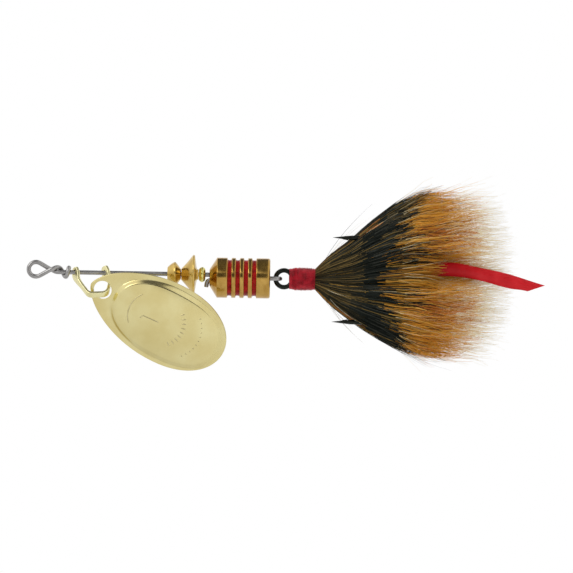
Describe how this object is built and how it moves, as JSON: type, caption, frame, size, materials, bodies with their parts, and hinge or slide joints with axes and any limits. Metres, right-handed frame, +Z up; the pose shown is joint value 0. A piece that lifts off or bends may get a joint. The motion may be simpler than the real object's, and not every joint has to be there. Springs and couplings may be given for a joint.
{
  "type": "inline spinner",
  "caption": "Inline spinner lure: oval blade on a clevis turns round a wire shaft with brass beads and a grooved body, ahead of a swinging treble hook dressed in hair.",
  "frame": {"origin": "on the shaft's axis, in the opening of the line-tie eye that the lure hangs from", "axes": "+Z up the line along the shaft, -Y out of the blade's front face as pictured, +X to the side away from the blade"},
  "size_m": [0.0254, 0.0212, 0.0726],
  "materials": {
    "steel_wire": "satin drawn wire",
    "clevis_gold": "pale gold plate, satin",
    "blade_gold": "pale gold plate, satin",
    "brass": "turned and polished",
    "yellow_brass": "polished",
    "red_lacquer": "glossy lacquer",
    "hook_bronze": "dark bronzed, semi-gloss",
    "red_thread": "varnished tying thread",
    "hair": "natural tail hair, dark root, amber middle, pale tips",
    "red_vinyl": "soft translucent vinyl"
  },
  "bodies": {
    "shaft": {"shaft_wire": "steel_wire"},
    "clevis": {"clevis": "clevis_gold"},
    "blade": {"blade": "blade_gold"},
    "front_bead": {"front_bead": "brass"},
    "bell_bead": {"bell_bead": "brass"},
    "ball_bead": {"ball_bead": "yellow_brass"},
    "body": {"body": "brass", "groove_lacquer_1": "red_lacquer", "groove_lacquer_2": "red_lacquer", "groove_lacquer_3": "red_lacquer", "groove_lacquer_4": "red_lacquer"},
    "treble": {"treble_double_hook": "hook_bronze", "treble_single_hook": "hook_bronze", "thread_wrap": "red_thread", "hair_bundle_1": "hair", "hair_bundle_2": "hair", "hair_bundle_3": "hair", "attractor_strip": "red_vinyl"}
  },
  "joints": [
    {"name": "clevis_spin", "type": "hinge", "parent": "shaft", "child": "clevis", "pos_m": [0, 0, -0.0073], "axis": [0, 0, 1], "continuous": true},
    {"name": "blade_swing", "type": "hinge", "parent": "clevis", "child": "blade", "pos_m": [-0.00166, -0.00226, -0.00754], "axis": [-0.7071, 0.7071, 0], "range_deg": [-7, 75]},
    {"name": "front_bead_spin", "type": "hinge", "parent": "shaft", "child": "front_bead", "pos_m": [0, 0, -0.01887], "axis": [0, 0, 1], "continuous": true},
    {"name": "bell_bead_spin", "type": "hinge", "parent": "shaft", "child": "bell_bead", "pos_m": [0, 0, -0.02106], "axis": [0, 0, 1], "continuous": true},
    {"name": "ball_bead_spin", "type": "hinge", "parent": "shaft", "child": "ball_bead", "pos_m": [0, 0, -0.02278], "axis": [0, 0, 1], "continuous": true},
    {"name": "body_spin", "type": "hinge", "parent": "shaft", "child": "body", "pos_m": [-0.00038, 0, -0.02805], "axis": [0, 0, 1], "continuous": true},
    {"name": "hook_swing", "type": "hinge", "parent": "shaft", "child": "treble", "pos_m": [-0.00038, 0, -0.03373], "axis": [0, 1, 0], "range_deg": [-70, 70]}
  ]
}
